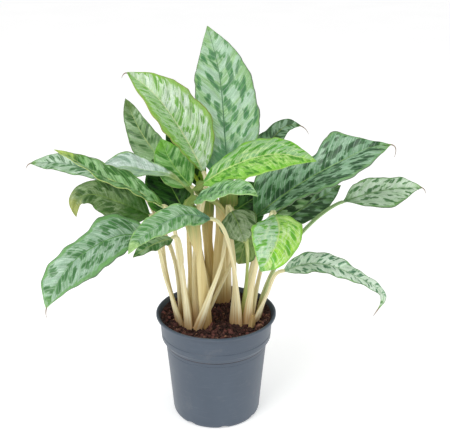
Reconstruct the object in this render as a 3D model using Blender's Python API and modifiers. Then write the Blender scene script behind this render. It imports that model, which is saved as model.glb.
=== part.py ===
"""Potted Chinese evergreen: nursery pot, soil, leaf stalks and leaf blades.

Metres, +Z up, origin at the middle of the pot's underside, front is -Y.
Every blade and every stalk is its own closed body with a small gap at each seat.
"""
import math

import bmesh
import bpy
import numpy as np
from mathutils import Vector

MM = 0.001

# Driving dimensions, in millimetres.
POT_RIM_RADIUS = 60.0
POT_HEIGHT = 110.0
POT_FOOT_RADIUS = 44.2
POT_WALL = 2.0
POT_FLOOR = 2.6
LIP_HEIGHT = 3.0
COLLAR_TOP_RADIUS = 56.6
COLLAR_FOOT_RADIUS = 54.8
COLLAR_FOOT_Z = 83.0
BODY_TOP_RADIUS = 50.6
BODY_TOP_Z = 76.0
DRAIN_COUNT = 8
DRAIN_RADIUS = 3.2
SOIL_TOP = 101.0
SOIL_RISE = 4.5
SOIL_GAP = 0.3
SEAT_GAP = 0.3
BLADE_THICKNESS = 0.9
BLADE_ROWS = 12
BLADE_COLUMNS = 4
STALK_FOOT_RADIUS = 3.6
STALK_TOP_RADIUS = 2.0
STALK_RINGS = 9
BLADE_GAP = 0.5

# Half width of a blade along its length, as a share of the widest place.
OUTLINE = (
    (0.00, 0.06), (0.05, 0.30), (0.12, 0.58), (0.22, 0.84), (0.34, 0.98), (0.42, 1.00),
    (0.52, 0.97), (0.64, 0.86), (0.75, 0.69), (0.85, 0.46), (0.93, 0.23), (1.00, 0.02),
)
WIDEST_AT = 0.42
STATIONS = (0.0, 0.1, 0.3, 0.5, 0.7, 0.9, 1.0)

# One row per leaf. midrib: points from the blade's foot to its tip. faces: the way the upper side looks.
# fold: how far each half lifts, degrees. left, right: share of the half width at five stations.
# foot, stalk: where the stalk leaves the soil and the points it passes.
LEAVES = {
    "leaf_01": dict(
        midrib=[(12, 8, 240), (9, 18, 285), (4, 33, 340), (-7, 46, 383)],
        width=59, faces=(0.05, -0.93, 0.35), fold=8, widest=0.44,
        left=(1.3, 0.95, 0.85, 0.95, 1.1), right=(1.15, 1.15, 1.1, 1.1, 1.1),
        foot=(10, 40), stalk=[(10, 32, 180)],
    ),
    "leaf_02": dict(
        midrib=[(-12, -2, 256), (-33, -14, 301), (-54, -24, 334), (-76, -24, 352)],
        width=49, faces=(0.35, -0.6, 0.7), fold=22, widest=0.38,
        left=(0.6, 0.85, 1.05, 1.3, 1.1), right=(1.25, 1.3, 1.2, 1.1, 1.05),
        foot=(-18, -14), stalk=[(-20, -11, 180)],
    ),
    "leaf_03": dict(
        midrib=[(-46, 32, 247), (-73, 58, 277), (-91, 84, 307)],
        width=31, faces=(-0.2, -0.8, 0.5), fold=15,
        left=(1, 1, 0.9, 0.6, 0.6), right=(1, 1, 0.9, 0.8, 0.7),
        foot=(-26, 0), stalk=[(-26, 22, 160), (-31, 36, 215)],
    ),
    "leaf_04": dict(
        midrib=[(-24, 9, 238), (-42, 15, 260), (-52, 27, 280)],
        width=36, faces=(0, -0.8, 0.6), fold=10,
        foot=(-18, 0), stalk=[(-17, 3, 190)],
    ),
    "leaf_05": dict(
        midrib=[(-27, -5, 241), (-42, -1, 252), (-66, 5, 255), (-90, 10, 257), (-111, 8, 244)],
        width=31, faces=(0, -0.5, 0.85), fold=14, widest=0.6,
        left=(0.6, 0.6, 0.85, 1, 1), right=(0.6, 0.6, 0.85, 1, 1),
        foot=(-22, -7), stalk=[(-26, -5, 185), (-24.5, -5, 228)],
    ),
    "leaf_06": dict(
        midrib=[(-80, 32, 228), (-121, 40, 244), (-155, 50, 249), (-186, 54, 248)],
        width=33, faces=(-0.1, -0.55, 0.8), fold=12, widest=0.55,
        right=(1, 0.9, 0.8, 0.8, 0.8),
        foot=(-33.5, 0), stalk=[(-42, 10, 165), (-60, 22, 205)],
    ),
    "leaf_07": dict(
        midrib=[(-48, -28, 231), (-76, -44, 254), (-101, -56, 270), (-121, -58, 284), (-138, -52, 291)],
        width=35, faces=(0.5, -0.15, 0.85), fold=14,
        foot=(-26, -14), stalk=[(-34, -18, 165)],
    ),
    "leaf_08": dict(
        midrib=[(-64, 10, 208), (-94, 10, 222), (-119, 6, 231), (-132, 0, 227), (-132, -7, 213)],
        width=36, faces=(0, -0.75, 0.6), fold=5, widest=0.45,
        left=(1, 1.1, 1.1, 0.6, 0.6), right=(1, 1, 0.9, 0.6, 0.6),
        foot=(-37, -7), stalk=[(-46, -2, 155)],
    ),
    "leaf_09": dict(
        midrib=[(-60, -28, 196), (-79, -46, 210), (-103, -66, 209), (-127, -86, 196), (-146, -98, 163)],
        width=54, faces=(-0.25, -0.7, 0.65), fold=14, widest=0.45,
        left=(1.05, 1.2, 1.4, 1.4, 1.1), right=(0.6, 0.55, 0.45, 0.6, 1.05),
        foot=(-33.5, -14), stalk=[(-44, -20, 150)],
    ),
    "leaf_10": dict(
        midrib=[(-5, -40, 223), (-28, -58, 233), (-49, -80, 231), (-64, -96, 225), (-72, -110, 218)],
        width=39, faces=(0, -0.55, 0.8), fold=8, widest=0.45,
        left=(1, 0.95, 0.75, 0.65, 0.6), right=(0.65, 0.65, 0.65, 0.65, 0.7),
        foot=(22, -15), stalk=[(18, -24, 160), (8, -33, 208)],
    ),
    "leaf_11": dict(
        midrib=[(-40, -40, 204), (-55, -62, 207), (-71, -86, 205)],
        width=18, faces=(0, -0.5, 0.8), fold=8,
        foot=(-27, -22), stalk=[(-30, -28, 150)],
    ),
    "leaf_12": dict(
        midrib=[(-28, 6, 207), (-42, 18, 232), (-62, 36, 257)],
        width=57, faces=(0.1, -0.8, 0.5), fold=8,
        right=(0.6, 0.6, 0.6, 0.7, 0.9),
        foot=(-6, 38), stalk=[(-16, 28, 160)],
    ),
    "leaf_13": dict(
        midrib=[(-13, 26, 229), (-31, 50, 253), (-50, 74, 278)],
        width=32, faces=(0.2, -0.8, 0.5), fold=20,
        left=(0.6, 0.8, 1, 1, 1),
        foot=(-2, 45), stalk=[(-8, 36, 170)],
    ),
    "leaf_14": dict(
        midrib=[(-12, -22, 250), (17, -36, 272), (51, -58, 288), (84, -76, 287)],
        width=45, faces=(0, -0.5, 0.85), fold=6,
        left=(0.7, 0.8, 1, 1, 1), right=(1, 1, 1.25, 1.5, 1.4),
        foot=(2, 36), stalk=[(4, 22, 165), (-2, 0, 222)],
    ),
    "leaf_15": dict(
        midrib=[(-19, -36, 239), (2, -62, 256), (21, -86, 266), (34, -104, 266)],
        width=29, faces=(0, -0.6, 0.8), fold=8,
        left=(0.8, 0.75, 0.75, 0.9, 1),
        foot=(-10, -14), stalk=[(-13, -22, 150), (-16, -26, 180)],
    ),
    "leaf_16": dict(
        midrib=[(29, 33, 246), (50, 52, 265), (72, 72, 281), (88, 80, 279)],
        width=39, faces=(-0.1, -0.8, 0.5), fold=12,
        left=(0.8, 0.7, 0.6, 0.6, 0.7),
        foot=(7, 47), stalk=[(16, 43, 180)],
    ),
    "leaf_17": dict(
        midrib=[(37, -5, 211), (78, -4, 243), (120, -10, 270), (155, -12, 285), (170, -12, 273)],
        width=53, faces=(-0.2, -0.5, 0.85), fold=22, widest=0.48,
        left=(2.1, 1.35, 0.95, 0.9, 0.6), right=(1.2, 1.1, 1.4, 1.7, 1.4),
        foot=(26, -5), stalk=[(31, -4, 160)],
    ),
    "leaf_18": dict(
        midrib=[(54, 12, 204), (79, 20, 220), (104, 28, 233)],
        width=22, faces=(0, -0.8, 0.6), fold=6,
        foot=(28, 5), stalk=[(36, 8, 155)],
    ),
    "leaf_19": dict(
        midrib=[(64, 30, 192), (91, 48, 202), (131, 74, 217)],
        width=35, faces=(0, -0.6, 0.7), fold=8,
        foot=(34, -1), stalk=[(46, 16, 150)],
    ),
    "leaf_20": dict(
        midrib=[(126, 20, 218), (152, 26, 224), (180, 30, 228), (205, 32, 228)],
        width=35, faces=(0, -0.5, 0.85), fold=12, widest=0.5,
        left=(1.6, 1.2, 0.9, 0.9, 0.9), right=(1, 1.1, 1.4, 1.4, 1.1),
        foot=(42, 2), stalk=[(58, 10, 150), (94, 14, 198)],
    ),
    "leaf_21": dict(
        midrib=[(53, -44, 228), (55, -72, 224), (48, -98, 215), (37, -112, 203)],
        width=47, faces=(0, -0.2, 1), tip_faces=(0, -1, 0.25), fold=6, widest=0.48,
        left=(1, 0.95, 0.85, 0.8, 1.0), right=(1, 1, 1, 1.1, 1.2),
        foot=(30, -13), stalk=[(37, -20, 160)],
    ),
    "leaf_22": dict(
        midrib=[(65, -20, 162), (94, -26, 172), (124, -36, 167), (155, -50, 150), (150, -56, 139)],
        width=33, faces=(0.1, -0.5, 0.8), fold=10,
        left=(1, 0.75, 0.6, 0.4, 0.5), right=(1, 0.8, 0.7, 0.6, 0.6),
        foot=(38, -9), stalk=[(50, -14, 135)],
    ),
    "leaf_23": dict(
        midrib=[(15, -4, 217), (21, -14, 208), (27, -23, 192)],
        width=38, faces=(0, -0.8, 0.6), fold=6,
        left=(0.7, 1, 1, 1, 1), right=(0.7, 1, 1, 1, 1),
        foot=(-19, -23), stalk=[(-6, -28, 140), (5, -20, 170), (11, -6, 205)],
    ),
    "leaf_24": dict(
        midrib=[(34, 13, 204), (32, 7, 196), (29, 4, 182), (22, 1, 160)],
        width=26, faces=(0, -0.95, 0.2), fold=8, widest=0.5,
        left=(1, 1, 1, 1.2, 1.8), right=(1, 1, 1, 1.2, 1.8),
        foot=(-14.4, -7), stalk=[(12, 8, 150), (30, 18, 190)],
    ),
    "leaf_25": dict(
        midrib=[(19, 9, 213), (35, 12, 223), (53, 14, 234)],
        width=27, faces=(0, -0.75, 0.6), fold=8,
        foot=(17, -7), stalk=[(18, -11, 158)],
    ),
}


def clear_file():
    for ob in list(bpy.data.objects):
        bpy.data.objects.remove(ob, do_unlink=True)
    for group in list(bpy.data.collections):
        bpy.data.collections.remove(group)


def make_collection(name):
    group = bpy.data.collections.new(name)
    bpy.context.scene.collection.children.link(group)
    return group


def make_material(name, colour, roughness):
    material = bpy.data.materials.new(name)
    material.use_nodes = True
    shader = material.node_tree.nodes["Principled BSDF"]
    shader.inputs["Base Color"].default_value = (*colour, 1.0)
    shader.inputs["Roughness"].default_value = roughness
    material.diffuse_color = (*colour, 1.0)
    return material


def add_object(name, data, group, material):
    ob = bpy.data.objects.new(name, data)
    group.objects.link(ob)
    data.materials.append(material)
    return ob


def unit(vector):
    vector = np.asarray(vector, float)
    return vector / np.linalg.norm(vector)


def smooth_path(points, count):
    """A smooth line through the points, cut into evenly spaced places."""
    pts = np.array(points, float)
    gaps = np.linalg.norm(np.diff(pts, axis=0), axis=1)
    knots = np.concatenate([[0.0], np.cumsum(np.sqrt(gaps))])
    slopes = np.zeros_like(pts)
    last = len(pts) - 1
    slopes[0] = (pts[1] - pts[0]) / (knots[1] - knots[0])
    slopes[last] = (pts[last] - pts[last - 1]) / (knots[last] - knots[last - 1])
    for i in range(1, last):
        before = (pts[i] - pts[i - 1]) / (knots[i] - knots[i - 1])
        after = (pts[i + 1] - pts[i]) / (knots[i + 1] - knots[i])
        near = knots[i + 1] - knots[i]
        far = knots[i] - knots[i - 1]
        slopes[i] = (before * near + after * far) / (near + far)
    if last > 1:
        slopes[0] = 1.5 * slopes[0] - 0.5 * slopes[1]
        slopes[last] = 1.5 * slopes[last] - 0.5 * slopes[last - 1]
    fine = []
    for i in range(last):
        step = knots[i + 1] - knots[i]
        for t in np.linspace(0.0, 1.0, 24, endpoint=False):
            a = 2 * t**3 - 3 * t**2 + 1
            b = (t**3 - 2 * t**2 + t) * step
            c = -2 * t**3 + 3 * t**2
            d = (t**3 - t**2) * step
            fine.append(a * pts[i] + b * slopes[i] + c * pts[i + 1] + d * slopes[i + 1])
    fine.append(pts[last])
    fine = np.array(fine)
    run = np.concatenate([[0.0], np.cumsum(np.linalg.norm(np.diff(fine, axis=0), axis=1))])
    wanted = np.linspace(0.0, run[-1], count)
    return np.stack([np.interp(wanted, run, fine[:, k]) for k in range(3)], 1)


def blade_points(row, rows, columns):
    """Places of a blade's middle surface: rows along the midrib, columns across it."""
    path = smooth_path(row["midrib"], rows + 1)
    along = np.gradient(path, axis=0)
    along /= np.linalg.norm(along, axis=1)[:, None]
    share = np.linspace(0.0, 1.0, rows + 1)
    first = unit(row["faces"])
    second = unit(row.get("tip_faces", row["faces"]))
    wanted = first[None, :] * (1 - share)[:, None] + second[None, :] * share[:, None]
    up = wanted - (wanted * along).sum(1)[:, None] * along
    up /= np.linalg.norm(up, axis=1)[:, None]
    side = np.cross(along, up)
    power = math.log(WIDEST_AT) / math.log(row.get("widest", 0.40))
    half = np.interp(share**power, [s for s, w in OUTLINE], [w for s, w in OUTLINE])
    half = half * row["width"] / 2
    fold = math.radians(row["fold"])
    grid = np.zeros((rows + 1, columns + 1, 3))
    for column, across in enumerate(np.linspace(-1.0, 1.0, columns + 1)):
        key = "right" if across > 0 else "left"
        shares = row.get(key, (1, 1, 1, 1, 1))
        stations = (shares[0], *shares, shares[-1])
        reach = half * np.interp(share, STATIONS, stations)
        far = abs(across)
        phase = 1.3 if across > 0 else 0.0
        wave = far**2 * np.sin(6 * math.pi * share + phase) * np.sin(math.pi * share)
        lift = reach * (far * math.sin(fold) + 0.05 * far**2) + wave
        grid[:, column] = path + side * (across * reach * math.cos(fold))[:, None] + up * lift[:, None]
    return grid


def make_blade(name, row, group, material):
    """A leaf blade: a grid laid along the midrib, then given its thickness."""
    grid = blade_points(row, BLADE_ROWS, BLADE_COLUMNS) * MM
    bm = bmesh.new()
    verts = [[bm.verts.new(Vector(place)) for place in line] for line in grid]
    for i in range(BLADE_ROWS):
        for j in range(BLADE_COLUMNS):
            bm.faces.new((verts[i][j], verts[i][j + 1], verts[i + 1][j + 1], verts[i + 1][j]))
    mesh = bpy.data.meshes.new(name)
    bm.to_mesh(mesh)
    bm.free()
    ob = add_object(name, mesh, group, material)
    solid = ob.modifiers.new("thickness", "SOLIDIFY")
    solid.thickness = BLADE_THICKNESS * MM
    solid.offset = 0.0
    solid.use_rim = True
    return ob


def make_tube(name, places, radii, group, material):
    """A round stalk along the places, closed at both ends."""
    curve = bpy.data.curves.new(name, "CURVE")
    curve.dimensions = "3D"
    curve.bevel_depth = MM
    curve.bevel_resolution = 2
    curve.use_fill_caps = True
    spline = curve.splines.new("POLY")
    spline.points.add(len(places) - 1)
    for point, place, radius in zip(spline.points, places, radii):
        point.co = (*(np.asarray(place) * MM), 1.0)
        point.radius = radius
    return add_object(name, curve, group, material)


def make_stalk(name, row, group, material):
    """A leaf stalk from the soil to just short of the blade's foot."""
    base = np.array(row["midrib"][0], float)
    heading = unit(smooth_path(row["midrib"], BLADE_ROWS + 1)[1] - base)
    x, y = row["foot"]
    foot = SOIL_TOP + SEAT_GAP
    points = [(x, y, foot + 2.0), *row["stalk"], base - heading * 8.0, base - heading * BLADE_GAP]
    path = smooth_path(points, 201)
    length = np.linalg.norm(np.diff(path, axis=0), axis=1).sum()
    near_end = 1.0 - 8.0 / length
    stops = [*np.linspace(0.0, near_end, STALK_RINGS - 2), 0.5 + near_end / 2, 1.0]
    places = [(x, y, foot), *(path[round(stop * 200)] for stop in stops)]
    share = np.array([0.0, *(0.02 + 0.98 * stop for stop in stops)]) ** 0.6
    radii = STALK_FOOT_RADIUS + (STALK_TOP_RADIUS - STALK_FOOT_RADIUS) * share
    return make_tube(name, places, radii, group, material)


def make_stub(group, material):
    """The dried foot of an old stalk, standing in front of the right-hand clump."""
    foot = SOIL_TOP + SEAT_GAP
    places = [(35, -20, foot), (35, -20, foot + 6), (36, -20.5, foot + 13)]
    return make_tube("stalk_stub", places, (3.0, 2.8, 1.9), group, material)


def lathe(name, profile, steps, group, material, flip=False):
    """Turn a profile of radius and height about the upright axis."""
    bm = bmesh.new()
    verts = [bm.verts.new((radius * MM, 0.0, height * MM)) for radius, height in profile]
    for a, b in zip(verts, verts[1:]):
        bm.edges.new((a, b))
    mesh = bpy.data.meshes.new(name)
    bm.to_mesh(mesh)
    bm.free()
    ob = add_object(name, mesh, group, material)
    screw = ob.modifiers.new("turn", "SCREW")
    screw.axis = "Z"
    screw.angle = math.tau
    screw.steps = steps
    screw.render_steps = steps
    screw.use_merge_vertices = True
    screw.merge_threshold = 0.00005
    screw.use_normal_calculate = True
    screw.use_normal_flip = flip
    return ob


def make_pot(group, cutters, material):
    """The thin-walled pot: lip, collar, step, tapering body and foot, with drain holes."""
    inside = POT_WALL
    foot = POT_FOOT_RADIUS
    profile = [
        (0.0, POT_FLOOR),
        (foot - inside - 1.5, POT_FLOOR),
        (foot - inside, POT_FLOOR + 1.5),
        (BODY_TOP_RADIUS - inside, BODY_TOP_Z - 1.0),
        (COLLAR_FOOT_RADIUS - inside - 0.4, COLLAR_FOOT_Z - 1.0),
        (COLLAR_TOP_RADIUS - inside, POT_HEIGHT - LIP_HEIGHT - 1.0),
        (POT_RIM_RADIUS - 3.4, POT_HEIGHT - 1.2),
        (POT_RIM_RADIUS - 2.4, POT_HEIGHT),
        (POT_RIM_RADIUS - 0.6, POT_HEIGHT),
        (POT_RIM_RADIUS, POT_HEIGHT - 0.7),
        (POT_RIM_RADIUS, POT_HEIGHT - LIP_HEIGHT + 0.5),
        (POT_RIM_RADIUS - 0.6, POT_HEIGHT - LIP_HEIGHT),
        (COLLAR_TOP_RADIUS, POT_HEIGHT - LIP_HEIGHT - 0.4),
        (COLLAR_FOOT_RADIUS + 0.2, COLLAR_FOOT_Z + 1.0),
        (COLLAR_FOOT_RADIUS - 0.6, COLLAR_FOOT_Z - 1.0),
        (BODY_TOP_RADIUS + 0.9, BODY_TOP_Z + 1.2),
        (BODY_TOP_RADIUS, BODY_TOP_Z - 1.0),
        (foot + 0.4, 3.0),
        (foot - 0.4, 1.0),
        (foot - 1.6, 0.0),
        (0.0, 0.0),
    ]
    pot = lathe("pot", profile, 48, group, material)
    for index in range(DRAIN_COUNT):
        turn = math.tau * (index + 0.5) / DRAIN_COUNT
        reach = (POT_FOOT_RADIUS - 12.0) * MM
        mesh = bpy.data.meshes.new(f"drain_{index}")
        bm = bmesh.new()
        bmesh.ops.create_cone(
            bm, cap_ends=True, segments=16, depth=12 * MM,
            radius1=DRAIN_RADIUS * MM, radius2=DRAIN_RADIUS * MM,
        )
        bm.to_mesh(mesh)
        bm.free()
        cutter = bpy.data.objects.new(f"drain_{index}", mesh)
        cutter.location = (reach * math.cos(turn), reach * math.sin(turn), 1 * MM)
        cutter.hide_render = True
        cutter.display_type = "WIRE"
        cutters.objects.link(cutter)
        cut = pot.modifiers.new(f"drain_{index}", "BOOLEAN")
        cut.operation = "DIFFERENCE"
        cut.solver = "EXACT"
        cut.object = cutter
    return pot


def make_soil(group, material):
    """The soil, following the pot's inside and heaped up against the wall."""
    gap = POT_WALL + SOIL_GAP
    foot = POT_FOOT_RADIUS
    wall = COLLAR_TOP_RADIUS - gap - 0.6
    profile = [
        (0.0, SOIL_TOP),
        (51.4, SOIL_TOP),
        (wall, SOIL_TOP + SOIL_RISE),
        (COLLAR_FOOT_RADIUS - gap - 0.6, COLLAR_FOOT_Z - 1.0),
        (BODY_TOP_RADIUS - gap, BODY_TOP_Z - 1.5),
        (foot - gap - 0.2, POT_FLOOR + 2.2),
        (foot - gap - 1.9, POT_FLOOR + SOIL_GAP),
        (0.0, POT_FLOOR + SOIL_GAP),
    ]
    return lathe("soil", profile, 48, group, material, flip=True)


def main():
    clear_file()
    group = make_collection("potted_chinese_evergreen")
    cutters = make_collection("cutters")
    cutters.hide_render = True
    slate = make_material("pot_plastic", (0.11, 0.13, 0.17), 0.42)
    earth = make_material("soil_earth", (0.045, 0.028, 0.02), 0.95)
    stalk = make_material("stalk_cream", (0.72, 0.66, 0.42), 0.55)
    dry = make_material("stub_dry", (0.25, 0.15, 0.08), 0.8)
    green = make_material("leaf_green", (0.12, 0.26, 0.10), 0.45)
    make_pot(group, cutters, slate)
    make_soil(group, earth)
    make_stub(group, dry)
    for name, row in LEAVES.items():
        make_blade(name, row, group, green)
        make_stalk(name.replace("leaf", "petiole"), row, group, stalk)


main()
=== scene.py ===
import math
import random

import bmesh
import bpy
import numpy as np
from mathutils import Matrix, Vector, noise


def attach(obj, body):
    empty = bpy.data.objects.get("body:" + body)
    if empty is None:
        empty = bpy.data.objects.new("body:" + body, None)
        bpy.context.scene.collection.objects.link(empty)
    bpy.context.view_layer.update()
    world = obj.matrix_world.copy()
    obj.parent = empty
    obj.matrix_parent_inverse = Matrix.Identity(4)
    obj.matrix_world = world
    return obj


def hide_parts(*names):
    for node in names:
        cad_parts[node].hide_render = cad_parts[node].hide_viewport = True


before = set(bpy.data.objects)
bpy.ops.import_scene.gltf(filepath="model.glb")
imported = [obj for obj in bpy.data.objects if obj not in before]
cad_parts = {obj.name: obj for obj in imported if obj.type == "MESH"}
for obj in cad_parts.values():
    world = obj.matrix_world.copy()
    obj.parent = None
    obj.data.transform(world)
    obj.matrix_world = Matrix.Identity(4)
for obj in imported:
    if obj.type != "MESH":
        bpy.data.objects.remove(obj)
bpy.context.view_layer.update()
bpy.ops.object.select_all(action="DESELECT")
mm = 0.001
print("frame loaded:", len(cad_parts), "nodes")


# helpers for objects

def pickOnly(*objects):
    # the last one is the active one
    bpy.ops.object.select_all(action="DESELECT")
    for ob in objects:
        ob.select_set(True)
    bpy.context.view_layer.objects.active = objects[-1]


def applyAll(ob):
    pickOnly(ob)
    for modifier in list(ob.modifiers):
        bpy.ops.object.modifier_apply(modifier=modifier.name)


def settle(ob, node):
    # the finished piece rides on the plant and stands for its own solid
    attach(ob, "root")
    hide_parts(node)


def gridPiece(name, columns, rows):
    # a flat grid to be laid over a leaf, stalk or the soil; across and along run from 0 to 1
    bpy.ops.object.select_all(action="DESELECT")
    bpy.ops.mesh.primitive_grid_add(x_subdivisions=columns, y_subdivisions=rows, size=2)
    ob = bpy.context.object
    ob.name = name
    ob.data.name = name
    flat = (pointsOf(ob) + 1) / 2
    return ob, flat[:, 0], flat[:, 1]


def pointsOf(ob):
    co = np.zeros(len(ob.data.vertices) * 3)
    ob.data.vertices.foreach_get("co", co)
    return co.reshape(-1, 3)


def movePoints(ob, places):
    ob.data.vertices.foreach_set("co", (places * mm).astype(np.float32).ravel())
    ob.data.update()


def layUv(ob, name, across, along):
    # two numbers for each vertex, written to the corners that use it
    mesh = ob.data
    layer = mesh.uv_layers.get(name) or mesh.uv_layers.new(name=name)
    corner = np.zeros(len(mesh.loops), int)
    mesh.loops.foreach_get("vertex_index", corner)
    pairs = np.stack([across, along], 1)[corner]
    layer.data.foreach_set("uv", pairs.astype(np.float32).ravel())


def pickRim(ob):
    # in edit mode: only the open edge stays selected
    bm = bmesh.from_edit_mesh(ob.data)
    for face in bm.faces:
        face.select_set(False)
    for edge in bm.edges:
        edge.select_set(edge.is_boundary)
    bmesh.update_edit_mesh(ob.data)


def facesOut():
    # in edit mode: the last step before going back to the object
    bpy.ops.mesh.select_all(action="SELECT")
    bpy.ops.mesh.normals_make_consistent(inside=False)
    bpy.ops.object.mode_set(mode="OBJECT")


def closeTube(ob, gap):
    # joins the seam of a rolled grid and closes its two ends
    pickOnly(ob)
    bpy.ops.object.mode_set(mode="EDIT")
    bpy.ops.mesh.select_all(action="SELECT")
    bpy.ops.mesh.remove_doubles(threshold=gap)
    bpy.ops.mesh.select_all(action="SELECT")
    bpy.ops.mesh.fill_holes(sides=0)
    facesOut()


# helpers for paths

def unit(vector):
    vector = np.asarray(vector, float)
    return vector / np.linalg.norm(vector)


def unitRows(rows):
    return rows / np.linalg.norm(rows, axis=1)[:, None]


def steps(path):
    return np.linalg.norm(np.diff(path, axis=0), axis=1)


def squareTo(wanted, along):
    # the wanted directions, turned square to the path
    return unitRows(wanted - (wanted * along).sum(1)[:, None] * along)


def readOff(share, line, rows):
    # rows of a path, read off at each share of its length
    return np.stack([np.interp(share, line, rows[:, k]) for k in range(3)], 1)


def smoothPath(points, count):
    # a smooth line through the points, cut into evenly spaced places
    pts = np.array(points, float)
    knots = np.concatenate([[0.0], np.cumsum(np.sqrt(steps(pts)))])
    slopes = np.zeros_like(pts)
    last = len(pts) - 1
    slopes[0] = (pts[1] - pts[0]) / (knots[1] - knots[0])
    slopes[last] = (pts[last] - pts[last - 1]) / (knots[last] - knots[last - 1])
    for i in range(1, last):
        before = (pts[i] - pts[i - 1]) / (knots[i] - knots[i - 1])
        after = (pts[i + 1] - pts[i]) / (knots[i + 1] - knots[i])
        near = knots[i + 1] - knots[i]
        far = knots[i] - knots[i - 1]
        slopes[i] = (before * near + after * far) / (near + far)
    if last > 1:
        slopes[0] = 1.5 * slopes[0] - 0.5 * slopes[1]
        slopes[last] = 1.5 * slopes[last] - 0.5 * slopes[last - 1]
    fine = []
    for i in range(last):
        step = knots[i + 1] - knots[i]
        for t in np.linspace(0.0, 1.0, 40, endpoint=False):
            a = 2 * t**3 - 3 * t**2 + 1
            b = (t**3 - 2 * t**2 + t) * step
            c = -2 * t**3 + 3 * t**2
            d = (t**3 - t**2) * step
            fine.append(a * pts[i] + b * slopes[i] + c * pts[i + 1] + d * slopes[i + 1])
    fine.append(pts[last])
    fine = np.array(fine)
    run = np.concatenate([[0.0], np.cumsum(steps(fine))])
    return readOff(np.linspace(0.0, run[-1], count), run, fine)


def softened(values, reach):
    # rounds off the corners of a line of values, ends kept
    kernel = np.hanning(2 * reach + 3)[1:-1]
    kernel = kernel / kernel.sum()
    front = 2 * values[0] - values[reach:0:-1]
    back = 2 * values[-1] - values[-2:-reach - 2:-1]
    return np.convolve(np.concatenate([front, values, back]), kernel, mode="valid")


# helpers for paint

def tone(red, green, blue):
    # a colour as it looks on screen, 0 to 255, turned into the linear colour that the shader takes
    parts = []
    for part in (red, green, blue):
        part = part / 255
        parts.append(part / 12.92 if part <= 0.04045 else ((part + 0.055) / 1.055) ** 2.4)
    return (*parts, 1.0)


class Painter:
    # adds nodes to one material, group or sky, and hands back the sockets they put out

    def __init__(self, tree):
        self.tree = tree

    def give(self, socket, value):
        if isinstance(value, bpy.types.NodeSocket):
            self.tree.links.new(value, socket)
        else:
            socket.default_value = value

    def put(self, kind, wires=None, **settings):
        node = self.tree.nodes.new("ShaderNode" + kind)
        for name, value in settings.items():
            setattr(node, name, value)
        for socket, value in (wires or {}).items():
            self.give(node.inputs[socket], value)
        return node.outputs

    def calc(self, operation, a, b=0.0, c=0.0):
        return self.put("Math", {0: a, 1: b, 2: c}, operation=operation)[0]

    def plus(self, a, b):
        return self.calc("ADD", a, b)

    def less(self, a, b):
        return self.calc("SUBTRACT", a, b)

    def times(self, a, b):
        return self.calc("MULTIPLY", a, b)

    def timesPlus(self, a, b, c):
        return self.calc("MULTIPLY_ADD", a, b, c)

    def unsigned(self, a):
        return self.calc("ABSOLUTE", a)

    def place(self, x, y):
        return self.put("CombineXYZ", {0: x, 1: y})[0]

    def parts(self, vector):
        return self.put("SeparateXYZ", {0: vector})

    def uvMap(self, name):
        return self.put("UVMap", uv_map=name)[0]

    def band(self, value, low, high, start=0.0, end=1.0):
        # a soft step from start to end while value goes from low to high
        wires = {"Value": value, "From Min": low, "From Max": high, "To Min": start, "To Max": end}
        return self.put("MapRange", wires, interpolation_type="SMOOTHSTEP")[0]

    def mix(self, factor, a, b, blend="MIX"):
        return self.put("Mix", {0: factor, 6: a, 7: b}, data_type="RGBA", blend_type=blend)[2]

    def layer(self, under, over, amount, value, low, high, *ends):
        # one colour laid over another where value is past the step
        return self.mix(self.times(self.band(value, low, high, *ends), amount), under, over)

    def grain(self, vector, scale, detail=2.0, rough=0.5, twist=0.0):
        wires = {"Vector": vector, "Scale": scale, "Detail": detail, "Roughness": rough}
        return self.put("TexNoise", {**wires, "Distortion": twist}, noise_dimensions="3D")["Fac"]

    def stretch(self, vector, scale):
        return self.put("Mapping", {"Vector": vector, "Scale": scale})[0]

    def finish(self, shader, colour, rough, height, bump, depth, shine=0.5):
        self.give(shader.inputs["Base Color"], colour)
        self.give(shader.inputs["Roughness"], rough)
        wires = {"Strength": bump, "Distance": depth * mm, "Height": height}
        self.give(shader.inputs["Normal"], self.put("Bump", wires)[0])
        shader.inputs["Specular IOR Level"].default_value = shine


def newMaterial(name):
    material = bpy.data.materials.new(name)
    material.use_nodes = True
    tree = material.node_tree
    return material, Painter(tree), tree.nodes["Principled BSDF"]


def newPaint(kit):
    # a paint group: maps, colours and numbers go in; colour, roughness and height come out
    group = bpy.data.node_groups.new(kit["name"], "ShaderNodeTree")
    sockets = [(label, "Vector", None) for label in kit["maps"]]
    sockets += [(label, "Color", (0.5, 0.5, 0.5, 1)) for label in kit["colours"]]
    sockets += [(label, "Float", value) for label, value in kit["numbers"].items()]
    for label, kind, value in sockets:
        socket = group.interface.new_socket(label, in_out="INPUT", socket_type="NodeSocket" + kind)
        if value is not None:
            socket.default_value = value
    for label, kind in (("Color", "Color"), ("Rough", "Float"), ("Height", "Float")):
        group.interface.new_socket(label, in_out="OUTPUT", socket_type="NodeSocket" + kind)
    kit["group"] = group
    start = group.nodes.new("NodeGroupInput")
    end = group.nodes.new("NodeGroupOutput")
    return Painter(group), start.outputs, end.inputs


def paintedMaterial(name, kit, look):
    material, p, shader = newMaterial(name)
    wires = {label: p.uvMap(label) for label in kit["maps"]}
    for key in kit["colours"]:
        wires[key] = tone(*look.get(key, look[kit["colours"][0]]))
    wires.update({key: look[key] for key in kit["numbers"] if key in look})
    paint = p.put("Group", wires, node_tree=kit["group"])
    shine = look.get("shine", kit["shine"])
    p.finish(shader, paint["Color"], paint["Rough"], paint["Height"], look.get("bump", 0.5), 0.4, shine)
    return material


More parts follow.
